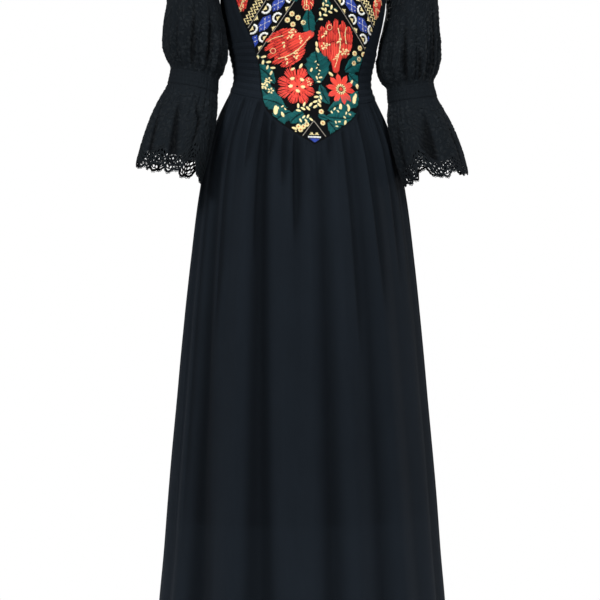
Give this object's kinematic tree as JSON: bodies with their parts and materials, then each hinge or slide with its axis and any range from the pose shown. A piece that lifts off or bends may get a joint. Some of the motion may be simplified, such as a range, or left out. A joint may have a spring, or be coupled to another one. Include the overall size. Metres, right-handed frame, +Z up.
{
  "type": "maxi dress",
  "caption": "Long black dress, worn form with no wearer: pointed embroidered front panel, shirred waist, puffed elbow sleeves with lace-edged flared cuffs, softly folded skirt.",
  "frame": {"origin": "midway between the shoulder seams at the neck points, where the dress hangs from the wearer's shoulders", "axes": "+Z up, the front faces -Y, the wearer's left is at +X"},
  "size_m": [0.6001, 0.4482, 1.4232],
  "materials": {
    "crepe": "matt black crepe",
    "embroidered_panel": "black ground with raised satin stitch in coral red, teal, cream and blue",
    "worked_cloth": "black cotton with raised black embroidery",
    "lace": "black corded lace",
    "lining": "smooth black lining cloth"
  },
  "bodies": {
    "root": {"bodice_side_front_right": "crepe", "bodice_side_front_left": "crepe", "waist_shirring_right": "crepe", "waist_shirring_left": "crepe", "waist_shirring_back": "crepe", "bodice_back": "crepe", "neck_binding": "crepe", "skirt_front": "crepe", "skirt_back": "crepe", "bodice_front_panel": "embroidered_panel", "sleeve_puff_right": "worked_cloth", "sleeve_puff_left": "worked_cloth", "sleeve_band_right": "worked_cloth", "sleeve_band_left": "worked_cloth", "cuff_flounce_right": "worked_cloth", "cuff_flounce_left": "worked_cloth", "cuff_lace_right_front": "lace", "cuff_lace_right_back": "lace", "cuff_lace_left_front": "lace", "cuff_lace_left_back": "lace", "skirt_lining_front": "lining", "skirt_lining_back": "lining"}
  },
  "joints": []
}
